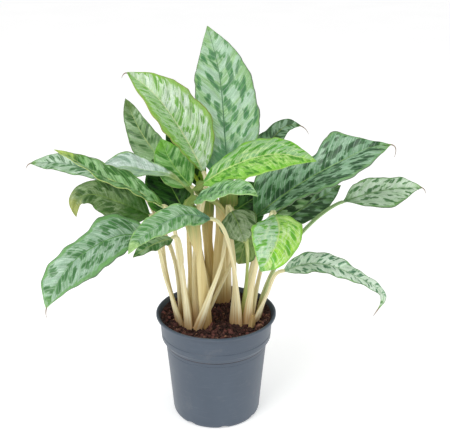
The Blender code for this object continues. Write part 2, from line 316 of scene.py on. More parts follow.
# one row for each leaf, mm. midrib: from the blade's foot to its tip. faces: the way the upper side looks.
# fold: how far each half lifts. left, right: share of the half width at five places along the blade.
# foot, stalk: where the stalk leaves the soil and what it passes. tendril: length and aim of the dried point.
# look: the paint it starts from, and after it the colours and numbers that this leaf changes.
leaves = {
    "leaf_01": dict(
        flare=1.3, stout=2.1, sheath=0.97, stalkLook="tan",
        midrib=[(12, 8, 240), (9, 18, 285), (4, 33, 340), (-7, 46, 383)],
        width=59, faces=(0.05, -0.93, 0.35), fold=8, widest=0.44,
        left=(1.3, 0.95, 0.87, 1.02, 0.95), right=(1.2, 1.2, 1.12, 1.15, 1.15),
        foot=(10, 40), stalk=[(10, 32, 180)],
        look="silver", ground=(166, 200, 170), cloud=(142, 186, 126), blotch=(84, 144, 80),
        core=(50, 108, 70), marginWidth=0.08, blotchLow=0.535, blotchWide=0.74, blotchLong=1.15,
        coreAmount=0.6, streakAmount=0.2, lineAmount=0.2, base=(70, 124, 76), baseUpTo=0.24,
    ),
    "leaf_02": dict(
        tendril=(9, (-0.6, 0, -1)), stout=1.15,
        midrib=[(-12, -2, 256), (-33, -14, 301), (-54, -24, 334), (-76, -24, 352)],
        width=49, faces=(0.35, -0.6, 0.7), fold=22, widest=0.38,
        left=(0.6, 0.9, 1.35, 1.95, 2), right=(1.25, 1.3, 1.25, 1.25, 1.3),
        foot=(-18, -14), stalk=[(-20, -11, 180)],
        look="bright", other=(146, 208, 106), otherSide=-1.0, otherAmount=0.65, blotchLow=0.58,
        ribWidth=0.13, ground=(226, 244, 224), streak=(70, 134, 56), streakAmount=0.7, line=(234, 246, 218),
        lineAmount=0.5, marginWidth=0.2, margin=(132, 184, 52), alongAmount=0.15,
    ),
    "leaf_03": dict(
        midrib=[(-46, 32, 247), (-73, 58, 277), (-91, 84, 307)],
        width=31, faces=(-0.2, -0.8, 0.5), fold=15,
        left=(1, 1.12, 1.05, 0.9, 1.1), right=(1, 1, 0.85, 0.8, 1.0),
        foot=(-26, 0), stalk=[(-26, 22, 160), (-31, 36, 215)],
        look="sage", streak=(80, 112, 62), streakAmount=0.6, tipFrom=0.84, baseUpTo=0.3, lineAmount=0.5,
        line=(176, 198, 152),
    ),
    "leaf_04": dict(
        midrib=[(-24, 9, 238), (-42, 15, 260), (-52, 27, 280)],
        width=36, faces=(0, -0.8, 0.6), fold=10,
        foot=(-18, 0), stalk=[(-17, 3, 190)],
        look="grass", tipFrom=0.8, ground=(156, 202, 132), line=(178, 216, 142),
    ),
    "leaf_05": dict(
        stalkLook="tan",
        midrib=[(-27, -5, 241), (-42, -1, 252), (-66, 5, 255), (-90, 10, 257), (-111, 8, 244)],
        width=31, faces=(0, -0.5, 0.85), fold=14, widest=0.6,
        left=(0.6, 0.6, 0.85, 1, 1), right=(0.6, 0.6, 0.85, 1, 1),
        foot=(-22, -7), stalk=[(-26, -5, 185), (-24.5, -5, 228)],
        look="grey", other=(150, 188, 136), otherSide=-1.0, otherAmount=0.7, alongAmount=0.4,
        line=(122, 154, 130), lineAmount=0.15,
    ),
    "leaf_06": dict(
        tendril=(9, (-0.5, 0, -1)),
        midrib=[(-80, 32, 228), (-121, 40, 244), (-155, 50, 249), (-186, 54, 248)],
        width=33, faces=(-0.1, -0.55, 0.8), fold=12, widest=0.55,
        left=(0.9, 0.8, 0.75, 0.8, 1), right=(1, 0.9, 0.8, 0.8, 0.8),
        foot=(-33.5, 0), stalk=[(-42, 10, 165), (-60, 22, 205)],
        look="silver", ground=(190, 216, 190), cloud=(158, 194, 154), blotch=(80, 134, 74),
        core=(52, 98, 54), blotchWide=1.6, streak=(92, 136, 90), streakAmount=0.4,
    ),
    "leaf_07": dict(
        stout=1.25,
        midrib=[(-48, -28, 231), (-76, -44, 254), (-101, -56, 270), (-121, -58, 284), (-138, -52, 291)],
        width=35, faces=(0.5, -0.15, 0.85), fold=14,
        foot=(-26, -14), stalk=[(-34, -18, 165)],
        look="grass", ground=(156, 198, 142), cloud=(108, 164, 88), blotch=(60, 120, 44), core=(38, 90, 32),
        rib=(208, 220, 140), edge=(190, 204, 124), margin=(76, 136, 46), tip=(176, 200, 92), tipFrom=0.88,
        blotchLow=0.5, streak=(184, 212, 170), streakAmount=0.45,
    ),
    "leaf_08": dict(
        midrib=[(-64, 10, 208), (-94, 10, 222), (-119, 6, 231), (-132, 0, 227), (-132, -7, 213)],
        width=36, faces=(0, -0.75, 0.6), fold=5, widest=0.45,
        left=(2, 1.15, 1, 0.7, 0.7), right=(1.4, 1.05, 0.9, 0.85, 0.7),
        foot=(-37, -7), stalk=[(-49, -2, 155)],
        # the dull olive paint on this blade is partly painted shade on its upper side
        look="olive", alongAmount=0.6, tipFrom=0.84, margin=(72, 118, 40), base=(52, 98, 24), baseUpTo=0.28,
        lineAmount=0.15, line=(150, 172, 132),
    ),
    "leaf_09": dict(
        tendril=(10, (0.1, 0, -1)),
        midrib=[(-60, -28, 196), (-79, -46, 210), (-103, -66, 209), (-127, -86, 196), (-146, -98, 163)],
        width=54, faces=(-0.25, -0.7, 0.65), fold=14, widest=0.45,
        left=(0.8, 0.9, 1.1, 1.4, 0.9), right=(0.8, 0.95, 0.5, 0.6, 1.2),
        foot=(-33.5, -14), stalk=[(-47, -20, 150)],
        look="silver", ground=(156, 190, 162), cloud=(126, 168, 126), blotch=(76, 132, 70),
        core=(48, 100, 50), margin=(106, 162, 86), rib=(104, 158, 84), blotchLow=0.525, blotchFar=0.76,
        marginWidth=0.22, tip=(126, 182, 100), blotchWide=0.95, blotchLong=1.15, base=(84, 132, 66),
        baseUpTo=0.1, alongAmount=0.15,
    ),
    "leaf_10": dict(
        midrib=[(-5, -40, 223), (-28, -58, 233), (-49, -80, 231), (-64, -96, 225), (-72, -110, 218)],
        width=39, faces=(0, -0.55, 0.8), fold=8, widest=0.45,
        left=(1, 0.95, 0.75, 0.65, 0.6), right=(0.65, 0.65, 0.65, 0.65, 0.7),
        foot=(22, -15), stalk=[(18, -24, 160), (8, -33, 208)],
        look="silver", ground=(148, 188, 144), cloud=(120, 168, 110), blotch=(84, 144, 72),
        core=(60, 118, 58), streak=(190, 212, 190), tip=(164, 202, 124), tipFrom=0.88, streakAmount=0.4,
        coreAmount=0.35, blotchWide=1.3, base=(92, 136, 116), baseUpTo=0.12, margin=(136, 190, 100),
        edge=(150, 180, 120), rib=(122, 160, 128),
    ),
    "leaf_11": dict(
        midrib=[(-40, -40, 204), (-55, -62, 207), (-71, -86, 205)],
        width=18, faces=(0, -0.5, 0.8), fold=8,
        foot=(-27, -22), stalk=[(-30, -28, 150)],
        look="sage", blotch=(66, 122, 54), blotchLow=0.5, base=(60, 104, 48),
    ),
    "leaf_12": dict(
        flare=0.9, stout=1.45, sheath=0.95, stalkLook="tan",
        midrib=[(-28, 6, 207), (-42, 18, 232), (-62, 36, 257)],
        width=57, faces=(0.1, -0.8, 0.5), fold=8,
        right=(0.6, 0.6, 0.6, 0.7, 0.9),
        foot=(-6, 38), stalk=[(-16, 28, 160)],
        # its very dark ground is painted shade: this blade sits in shade under the leaves around it
        look="dark", streakAmount=0.2, margin=(66, 124, 26), marginWidth=0.15, ground=(40, 86, 24),
        shine=0.25,
    ),
    "leaf_13": dict(
        flare=1.2, stout=1.6, sheath=0.96, stalkLook="tan",
        midrib=[(-13, 26, 229), (-31, 50, 253), (-50, 74, 278)],
        width=32, faces=(0.2, -0.8, 0.5), fold=20,
        left=(0.6, 0.8, 1, 1, 1),
        foot=(-2, 45), stalk=[(-8, 36, 170)],
        look="dark", ground=(78, 128, 22), cloud=(40, 90, 14), blotch=(22, 66, 10), rib=(190, 208, 80),
        shine=0.15, streak=(160, 194, 60), otherAmount=0.6, other=(156, 188, 60), ribWidth=0.2,
    ),
    "leaf_14": dict(
        flare=0.9, stout=1.7, sheath=0.96, stalkLook="tan",
        midrib=[(-12, -22, 250), (17, -36, 272), (51, -58, 288), (84, -76, 287)],
        width=45, faces=(0, -0.5, 0.85), fold=6,
        left=(0.7, 0.8, 1, 1, 1), right=(1, 0.85, 1.42, 1.85, 1.4),
        foot=(2, 36), stalk=[(4, 22, 165), (3, 0, 222)],
        look="fresh", other=(134, 180, 130), otherSide=-1.0, otherAmount=0.85, blotchLow=0.55,
        blotchWide=1.3, alongAmount=0.45, line=(206, 234, 150), lineAmount=0.2, streakAmount=0.4,
    ),
    "leaf_15": dict(
        flare=0.9, stout=1.8, sheath=0.97, stalkLook="tan",
        midrib=[(-19, -36, 239), (2, -62, 256), (21, -86, 266), (34, -104, 266)],
        width=29, faces=(0, -0.6, 0.8), fold=8,
        left=(0.8, 0.75, 0.75, 0.9, 1),
        foot=(-10, -14), stalk=[(-13, -22, 150), (-16, -26, 180)],
        look="silver", ground=(148, 194, 136), cloud=(112, 170, 92), blotch=(68, 128, 62),
        core=(36, 88, 52), edge=(190, 222, 150), margin=(130, 186, 96), blotchNear=0.06, blotchFar=0.62,
        blotchLow=0.49, blotchLong=1.3, blotchWide=1.2, tip=(150, 196, 110), rib=(120, 176, 104),
    ),
    "leaf_16": dict(
        tendril=(13, (0.6, 0, -1)),
        midrib=[(29, 33, 246), (50, 52, 265), (72, 72, 281), (88, 80, 279)],
        width=39, faces=(-0.1, -0.8, 0.5), fold=12,
        left=(0.8, 0.7, 0.6, 0.6, 0.7), right=(0.8, 0.75, 0.6, 0.55, 0.6),
        foot=(7, 47), stalk=[(16, 43, 180)],
        look="dark", ground=(146, 180, 150), cloud=(110, 152, 108), blotch=(56, 100, 50), core=(32, 72, 36),
        blotchLow=0.47, blotchWide=2.0, rib=(120, 150, 70), base=(56, 100, 50),
    ),
    "leaf_17": dict(
        tendril=(17, (-0.1, 0, -1)), stalkLook="green",
        midrib=[(37, -5, 211), (78, -4, 243), (120, -10, 270), (141, -12, 281), (160, -12, 284)],
        width=53, faces=(-0.2, -0.5, 0.85), fold=22, widest=0.48,
        left=(2.3, 1.35, 0.5, 1.4, 0.5), right=(1.2, 1.1, 1.35, 1.95, 2.4),
        foot=(26, -5), stalk=[(31, -4, 160)],
        # the darker teal other tone on its upper half is painted shade along that upper edge
        look="silver", ground=(152, 192, 158), cloud=(108, 158, 108), blotch=(48, 102, 48),
        core=(22, 66, 38), coreAmount=0.65, blotchWide=0.9, blotchLong=1.4, other=(98, 148, 106),
        otherSide=-1.0, otherAmount=0.45, margin=(122, 170, 104), rib=(150, 192, 110), blotchLow=0.49,
        base=(64, 120, 50), baseUpTo=0.08, line=(190, 216, 196), alongAmount=0.15, tip=(120, 176, 70),
    ),
    "leaf_18": dict(
        midrib=[(54, 12, 204), (79, 20, 220), (104, 28, 233)],
        width=22, faces=(0, -0.8, 0.6), fold=6,
        foot=(28, 5), stalk=[(36, 8, 155)],
        look="dark", ground=(156, 188, 138), cloud=(90, 134, 74), blotchLow=0.48, core=(16, 44, 20),
        shine=0.35,
    ),
    "leaf_19": dict(
        midrib=[(64, 30, 192), (91, 48, 202), (131, 74, 217)],
        width=35, faces=(0, -0.6, 0.7), fold=8,
        foot=(34, -1), stalk=[(46, 16, 150)],
        # the dark tones of this blade are partly painted shade: it sits in the shade of the leaves above
        look="dark", ground=(140, 174, 144), cloud=(84, 128, 74), blotch=(44, 88, 36), core=(22, 54, 26),
        blotchLow=0.46,
    ),
    "leaf_20": dict(
        tendril=(9, (0.3, 0, -1)), stalkLook="sage",
        midrib=[(126, 20, 218), (152, 26, 224), (180, 30, 228), (205, 32, 228)],
        width=35, faces=(0, -0.5, 0.85), fold=12, widest=0.5,
        left=(1.5, 1.1, 0.8, 0.8, 0.9), right=(1.6, 1.6, 1.65, 1.4, 0.85),
        foot=(42, 2), stalk=[(58, 10, 150), (94, 14, 198)],
        look="silver", ground=(212, 234, 206), cloud=(188, 221, 178), blotch=(78, 134, 64),
        margin=(110, 164, 78), blotchWide=1.2, blotchLong=1.5, rib=(130, 172, 110), blotchLow=0.555,
        base=(110, 150, 92), baseUpTo=0.1,
    ),
    "leaf_21": dict(
        midrib=[(53, -44, 228), (55, -72, 224), (48, -98, 215), (37, -112, 203)],
        width=47, faces=(0, -0.2, 1), tipFaces=(0, -1, 0.25), fold=6, widest=0.48,
        left=(1, 0.95, 0.85, 0.8, 1.0), right=(1, 1, 1, 1.1, 1.2),
        foot=(30, -13), stalk=[(37, -20, 160)],
        look="fresh", other=(178, 216, 182), otherAmount=0.9, blotch=(110, 184, 44), streak=(84, 156, 72),
        streakAmount=0.6, cloud=(196, 232, 130), core=(80, 158, 50), blotchLow=0.58, tip=(110, 176, 84),
        base=(60, 140, 50), ground=(166, 222, 74), line=(226, 244, 204), alongAmount=0.45,
    ),
    "leaf_22": dict(
        tendril=(9, (-0.6, 0, -1)),
        midrib=[(65, -20, 162), (94, -26, 172), (124, -36, 167), (155, -50, 150), (150, -56, 139)],
        width=33, faces=(0.1, -0.5, 0.8), fold=10,
        left=(1, 0.75, 0.6, 0.4, 0.5), right=(1, 0.8, 0.7, 0.6, 0.6),
        foot=(38, -9), stalk=[(50, -14, 135)],
        look="silver", ground=(218, 236, 216), cloud=(198, 222, 194), blotch=(92, 146, 102),
        core=(50, 102, 70), coreAmount=0.6, blotchLow=0.54, blotchWide=2.4, blotchLong=1.6,
        rib=(156, 190, 146),
    ),
    "leaf_23": dict(
        midrib=[(15, -4, 217), (21, -14, 208), (27, -23, 192)],
        width=38, faces=(0, -0.8, 0.6), fold=6,
        left=(0.7, 1, 1, 1, 1), right=(0.7, 1, 1, 1, 1),
        foot=(-19, -23), stalk=[(-6, -28, 140), (5, -20, 170), (11, -6, 205)],
        look="olive", ground=(132, 154, 112), cloud=(104, 130, 80), blotch=(84, 112, 62),
        streak=(168, 182, 148), streakAmount=0.5, blotchLow=0.58, alongAmount=0.6, line=(168, 184, 150),
    ),
    "leaf_24": dict(
        midrib=[(34, 13, 204), (32, 7, 196), (29, 4, 182), (22, 1, 160)],
        width=26, faces=(0, -0.95, 0.2), fold=8, widest=0.5,
        left=(1, 1, 1, 1.2, 1.8), right=(1, 1, 1, 1.2, 1.8),
        foot=(-14.4, -7), stalk=[(12, 8, 150), (30, 18, 190)],
        # its olive tones are painted light: they stand in for light shining through the backlit blade
        look="olive", ground=(138, 168, 92), cloud=(116, 148, 74), blotch=(94, 134, 56), core=(90, 132, 60),
        rib=(160, 182, 104), base=(130, 150, 70),
    ),
    "leaf_25": dict(
        left=(3.2, 1.8, 1.5, 1.4, 1.2), right=(3.2, 2, 1.6, 1.4, 1.2), stout=1.3, flare=1,
        midrib=[(19, 9, 213), (35, 12, 223), (53, 14, 234)],
        width=27, faces=(0, -0.75, 0.6), fold=8,
        foot=(17, -7), stalk=[(18, -11, 158)],
        # its dark green ground is largely painted shade for the shaded middle of the plant
        look="dark", ground=(58, 104, 44), shine=0.3,
    ),
}


# leaf blades

blade = dict(
    rows=92, columns=34, steps=241, thickness=0.55,
    crowding=1.35,  # columns sit closer beside the midrib
    # share of the way to the tip, and how wide a blade is there
    outline=(
        (0.00, 0.05), (0.05, 0.30), (0.12, 0.58), (0.22, 0.84), (0.34, 0.98), (0.42, 1.00),
        (0.52, 0.97), (0.64, 0.86), (0.75, 0.69), (0.85, 0.46), (0.93, 0.23), (1.00, 0.01),
    ),
    widestAt=0.42, outlineSoft=6,
    stations=(0.0, 0.1, 0.3, 0.5, 0.7, 0.9, 1.0), stationSoft=22,  # where left and right are read
    ribHeight=1.5, ribWidth=1.5,  # the raised rib underneath, mm
    groove=0.40, grooveWidth=1.3, bulge=0.07, pucker=0.6, ripple=0.28, lipLift=0.05,
    veinSpacing=5.5, veinSlope=0.75, veinBend=0.55, edgeWave=0.016, flutter=0.8,
)


def bladeSurface(leaf, share, across):
    # places on a blade's middle surface, with what the paint needs: mm along and mm from the midrib
    line = np.linspace(0.0, 1.0, blade["steps"])
    path = smoothPath(leaf["midrib"], blade["steps"])
    length = steps(path).sum()
    along = unitRows(np.gradient(path, axis=0))
    first = unit(leaf["faces"])
    second = unit(leaf.get("tipFaces", leaf["faces"]))
    up = squareTo(first[None, :] * (1 - line)[:, None] + second[None, :] * line[:, None], along)
    side = np.cross(along, up)
    power = math.log(blade["widestAt"]) / math.log(leaf.get("widest", 0.40))
    half = np.interp(line**power, [s for s, w in blade["outline"]], [w for s, w in blade["outline"]])
    half = softened(half, blade["outlineSoft"]) * leaf["width"] / 2
    reach = np.zeros_like(share)
    for key, which in (("left", across <= 0), ("right", across > 0)):
        shares = leaf.get(key, (1, 1, 1, 1, 1))
        widths = np.interp(line, blade["stations"], (shares[0], *shares, shares[-1]))
        reach[which] = np.interp(share[which], line, half * softened(widths, blade["stationSoft"]))
    spot, sideHere, upHere = (readOff(share, line, rows) for rows in (path, side, up))
    seed = leaf["seed"]
    far = np.abs(across)

    # a ragged edge, and waves that grow towards it
    where = share * length / 100 + seed * 3.7 + np.where(across > 0, 1.9, 0.0)
    ragged = np.sin(where * 21) + 0.8 * np.sin(where * 37 + 1.0) + 0.3 * np.sin(where * 83 + 2.0)
    reach = reach * (1 + blade["edgeWave"] * far**3 * ragged)
    fold = math.radians(leaf["fold"])
    phase = np.where(across > 0, 1.3, 0.0)
    bow = np.sin(math.pi * share)
    wave = far**2 * np.sin(6 * math.pi * share + phase) * bow
    wave += blade["flutter"] * far**4 * np.sin(where * 38 + seed * 5) * bow ** 0.5

    # ripples along the side veins, the groove over the midrib and the puckered halves
    dist = far * reach
    bend = blade["veinBend"] * dist**2 / max(leaf["width"], 20)
    vein = share * length - blade["veinSlope"] * dist - bend
    beat = 2 * math.pi * (vein + seed * 73) / blade["veinSpacing"]
    inner = np.clip(dist / 3.0, 0, 1) * np.clip((1 - far) * 4, 0, 1)
    ripple = blade["ripple"] * np.sin(beat) * inner
    groove = -blade["groove"] * np.exp(-(dist / blade["grooveWidth"]) ** 2) * (1 - share) ** 0.4
    middle = 4 * far * (1 - far)
    pucker = np.sin(vein / 2.7 + seed * 9 + phase) + 0.7 * np.sin(vein / 4.9 + seed * 5 + dist / 6)
    pucker = blade["pucker"] * pucker * middle * bow ** 0.5 * min(1.0, leaf["width"] / 35)
    bulge = blade["bulge"] * reach * middle
    lift = reach * (far * math.sin(fold) + blade["lipLift"] * far**2)
    lift = lift + wave + ripple + groove + pucker + bulge
    place = spot + sideHere * (across * reach * math.cos(fold))[:, None] + upHere * lift[:, None]
    return place, upHere, vein, np.sign(across) * dist, dist


def addBlade(name, leaf):
    ob, u, share = gridPiece(name, blade["columns"], blade["rows"])
    across = 2 * u - 1
    across = np.sign(across) * np.abs(across) ** blade["crowding"]
    place, up, vein, sideways, dist = bladeSurface(leaf, share, across)
    movePoints(ob, place)
    layUv(ob, "leafMap", (across + 1) / 2, share)
    layUv(ob, "veinMap", vein / 10 + leaf["seed"] * 7.3, sideways / 10)
    count = len(ob.data.vertices)
    solid = ob.modifiers.new("thickness", "SOLIDIFY")
    solid.thickness = blade["thickness"] * mm
    solid.offset = 0.0
    solid.material_offset = 1
    applyAll(ob)
    co = pointsOf(ob)
    upper = ((co[:count] - place * mm) * up).sum(1).mean() > 0
    under = slice(count, 2 * count) if upper else slice(0, count)
    rib = blade["ribHeight"] * np.exp(-(dist / blade["ribWidth"]) ** 2) * (1 - share) ** 0.6
    co[under] -= up * (rib * mm)[:, None]
    movePoints(ob, co / mm)
    bpy.ops.object.shade_smooth()
    return ob, upper


tendrilShape = dict(
    columns=8, rows=14, inLeaf=2.5, thick=0.62, thinEnd=0.14, flat=0.6,
    ahead=0.5, bend=1.9, drop=0.75, dropLate=2.2,
)


def addTendril(ob, leaf):
    # the thin dried point that curls beyond the leaf's tip
    s = tendrilShape
    length, aim = leaf["tendril"]
    twig, u, share = gridPiece("tendril", s["columns"], s["rows"])
    path = smoothPath(leaf["midrib"], 41)
    ahead = unit(path[-1] - path[-3])
    line = np.linspace(0, 1, s["rows"] + 1)
    row = line[:, None]
    spine = path[-1] - ahead * s["inLeaf"] + ahead * length * s["ahead"] * np.sin(row * s["bend"])
    spine = spine + unit(aim) * length * s["drop"] * row ** s["dropLate"]
    run = unitRows(np.gradient(spine, axis=0))
    first = unitRows(np.cross(run, np.array((0.3, 1.0, 0.2))))
    second = np.cross(run, first)
    size = np.interp(share, line, s["thick"] * (1 - line) ** 0.8 + s["thinEnd"])[:, None]
    angle = 2 * math.pi * u
    place = readOff(share, line, spine) + readOff(share, line, first) * np.cos(angle)[:, None] * size
    place = place + readOff(share, line, second) * np.sin(angle)[:, None] * size * s["flat"]
    movePoints(twig, place)
    for name in ("leafMap", "veinMap", "stalkMap", "fibreMap"):
        layUv(twig, name, u, share * 0.6 + 0.2)
    closeTube(twig, 0.005 * mm)
    bpy.ops.object.shade_smooth()
    twig.data.materials.append(driedTip)
    pickOnly(twig, ob)
    bpy.ops.object.join()


# leaf stalks

stalkShape = dict(
    rows=60, columns=20, steps=201, foot=101.3, sunk=1.5,
    footWide=4.6, footThick=3.0, topWide=2.1, topThick=1.8, sheathShare=0.42, narrowing=0.18,
    groove=0.55, grooveWidth=0.55, ribs=0.11, ribCount=9,
    beforeBlade=8.0, beforeDrop=0.5, intoBlade=3.0, intoDrop=1.1,  # how it runs in under its blade, mm
    clumps=((-23.0, -9.0), (31.0, -4.0), (4.0, 41.0)),  # the shoots that the sheaths close round
)


def addStalk(name, leaf):
    s = stalkShape
    ob, u, share = gridPiece(name, s["columns"], s["rows"])
    base = np.array(leaf["midrib"][0], float)
    heading = unit(smoothPath(leaf["midrib"], 13)[1] - base)
    x, y = leaf["foot"]
    faces = unit(leaf["faces"])
    under = unit(faces - (faces @ heading) * heading)
    before = base - heading * s["beforeBlade"] - under * s["beforeDrop"]
    into = base + heading * s["intoBlade"] - under * s["intoDrop"]
    line = np.linspace(0.0, 1.0, s["steps"])
    path = smoothPath([(x, y, s["foot"] - s["sunk"]), *leaf["stalk"], before, into], s["steps"])
    along = unitRows(np.gradient(path, axis=0))
    clump = min(s["clumps"], key=lambda c: (c[0] - x) ** 2 + (c[1] - y) ** 2)
    inward = unit(np.array((clump[0] - x, clump[1] - y, 0.0)) + np.array((0.0, 0.6, 0.0)))
    turn = np.clip((line - 0.25) / 0.6, 0, 1)[:, None]
    inner = squareTo(inward[None, :] * (1 - turn) + faces[None, :] * turn, along)
    side = np.cross(along, inner)
    fade = np.clip(line / leaf.get("sheath", s["sheathShare"]), 0, 1)
    fade = fade * fade * (3 - 2 * fade)
    big = leaf.get("stout", 1.0)
    wide = big * (s["footWide"] + (s["topWide"] - s["footWide"]) * fade)
    wide = wide * (1 - s["narrowing"] * np.clip((line - 0.5) * 2, 0, 1))
    wide = wide * (1 + leaf.get("flare", 0.0) * np.clip((line - 0.5) * 3, 0, 1))  # a winged top
    thick = big * (s["footThick"] + (s["topThick"] - s["footThick"]) * fade)
    tuck = np.clip((1 - line) * 40, 0.35, 1)  # draws in where it meets the blade
    angle = 2 * math.pi * u
    ribbed = 1 + s["ribs"] / 3 * np.cos(s["ribCount"] * 2 * angle + 1.0)
    fromTop = (angle - math.pi / 2 + math.pi) % (2 * math.pi) - math.pi
    cup = s["groove"] * np.exp(-(fromTop / s["grooveWidth"]) ** 2)
    out = np.interp(share, line, thick * tuck) * np.sin(angle) * (1 - cup)
    across = np.interp(share, line, wide * tuck) * np.cos(angle) * ribbed
    place = readOff(share, line, path) + readOff(share, line, side) * across[:, None]
    place = place + readOff(share, line, inner) * (out * ribbed)[:, None]
    movePoints(ob, place)
    layUv(ob, "stalkMap", u, share)
    layUv(ob, "fibreMap", u * 4 + leaf["seed"] * 5.1, share * steps(path).sum() / 10)
    closeTube(ob, 0.01 * mm)
    bpy.ops.object.shade_smooth_by_angle(angle=math.radians(60))
    return ob


# leaf paint

leafKit = dict(
    name="leafPaint", maps=("leafMap", "veinMap"), shine=0.5,
    colours=(
        "ground", "cloud", "other", "blotch", "core", "streak", "line",
        "margin", "edge", "rib", "tip", "base",
    ),
    numbers=dict(
        otherSide=1.0, otherAmount=0.0,  # the half right (1) or left (-1) of the midrib in another tone
        blotchAmount=0.9, blotchLow=0.53, blotchWide=1.0, blotchLong=1.1, blotchNear=0.0, blotchFar=0.97,
        coreAmount=0.5, streakAmount=0.3, streakReach=0.9, alongAmount=0.0, lineAmount=0.3,
        marginWidth=0.12, ribWidth=0.09, tipFrom=0.97, baseUpTo=0.04,
    ),
)


def makeLeafPaint():
    p, i, o = newPaint(leafKit)
    leafMap = p.parts(i["leafMap"])
    veinMap = p.parts(i["veinMap"])
    share = leafMap["Y"]
    off = p.unsigned(p.timesPlus(leafMap["X"], 2.0, -1.0))  # 0 midrib, 1 margin
    side = p.unsigned(veinMap["Y"])
    wobble = p.less(p.grain(i["veinMap"], 1.6, 3.0), 0.5)
    bentX = p.timesPlus(wobble, 0.30, veinMap["X"])
    bent = p.place(bentX, veinMap["Y"])

    # ground, and the half that differs
    clouds = p.grain(p.stretch(bent, (1.1, 0.6, 1)), 1.0, 3.0)
    colour = p.mix(p.band(clouds, 0.40, 0.62), i["ground"], i["cloud"])
    half = p.timesPlus(clouds, 1.4, p.timesPlus(veinMap["Y"], i["otherSide"], -0.7))
    colour = p.layer(colour, i["other"], i["otherAmount"], half, -0.12, 0.22)

    # fine streaks along the side veins
    fine = p.grain(p.stretch(bent, (7.5, 0.9, 1)), 1.0, 3.0, 0.6)
    keep = p.band(p.less(off, i["streakReach"]), -0.25, 0.15, 1, 0)
    colour = p.layer(colour, i["streak"], p.times(keep, i["streakAmount"]), fine, 0.5, 0.60)

    # stripes that run along the leaf
    stripeAt = p.place(p.timesPlus(wobble, 0.16, leafMap["X"]), share)
    stripes = p.grain(p.stretch(stripeAt, (17.0, 1.7, 1)), 1.0, 3.0, 0.6)
    colour = p.layer(colour, i["line"], i["alongAmount"], stripes, 0.49, 0.60)

    # blotches, with darker cores
    spotAt = p.place(p.times(bentX, i["blotchWide"]), p.times(veinMap["Y"], i["blotchLong"]))
    patchy = p.grain(spotAt, 1.15, 2.2, 0.55, 0.1)
    cells = p.put("TexVoronoi", {"Vector": spotAt, "Scale": 1.0}, voronoi_dimensions="2D")["Distance"]
    spots = p.timesPlus(cells, -0.42, p.plus(patchy, 0.18))
    near = p.band(p.less(off, i["blotchNear"]), -0.03, 0.06)
    farSide = p.timesPlus(wobble, 0.3, p.less(off, i["blotchFar"]))
    inside = p.times(near, p.band(farSide, -0.06, 0.04, 1, 0))
    over = p.less(p.timesPlus(fine, 0.05, spots), p.plus(i["blotchLow"], 0.025))
    colour = p.layer(colour, i["blotch"], p.times(inside, i["blotchAmount"]), over, -0.015, 0.05)
    colour = p.layer(colour, i["core"], p.times(inside, i["coreAmount"]), over, 0.05, 0.16)

    # side veins
    where = p.times(p.timesPlus(wobble, 0.12, veinMap["X"]), 10 / blade["veinSpacing"])
    ridge = p.unsigned(p.less(p.calc("FRACT", where), 0.5))
    line = p.band(ridge, 0.02, 0.13, 1, 0)
    colour = p.mix(p.times(line, i["lineAmount"]), colour, i["line"])

    # margin, edge, midrib, tip and base
    rim = p.timesPlus(wobble, 0.45, p.plus(off, i["marginWidth"]))
    colour = p.layer(colour, i["margin"], 0.85, rim, 0.97, 1.08)
    colour = p.layer(colour, i["edge"], 0.8, off, 0.955, 0.985)
    thin = p.times(i["ribWidth"], p.timesPlus(share, -0.75, 1.0))
    midrib = p.band(p.calc("DIVIDE", side, thin), 0.7, 1.3, 1, 0)
    colour = p.mix(midrib, colour, i["rib"])
    end = p.timesPlus(wobble, 0.25, p.less(share, i["tipFrom"]))
    colour = p.layer(colour, i["tip"], 0.9, end, -0.09, 0.07)
    start = p.timesPlus(wobble, 0.2, p.less(share, i["baseUpTo"]))
    colour = p.layer(colour, i["base"], 0.8, start, -0.08, 0.10, 1, 0)

    # light and dark specks, gloss and relief
    speck = p.grain(i["veinMap"], 22.0, 2.0)
    shade = p.band(p.timesPlus(wobble, 0.6, p.timesPlus(fine, 0.5, speck)), 0.50, 1.0, 0.76, 1.16)
    shaded = p.put("CombineColor", {0: shade, 1: shade, 2: shade})[0]
    p.give(o["Color"], p.mix(1.0, colour, shaded, "MULTIPLY"))
    p.give(o["Rough"], p.band(p.timesPlus(speck, 0.4, clouds), 0.5, 0.9, 0.24, 0.42))
    height = p.timesPlus(midrib, 0.5, p.timesPlus(line, -0.6, p.times(fine, 0.5)))
    p.give(o["Height"], p.timesPlus(speck, 0.2, height))


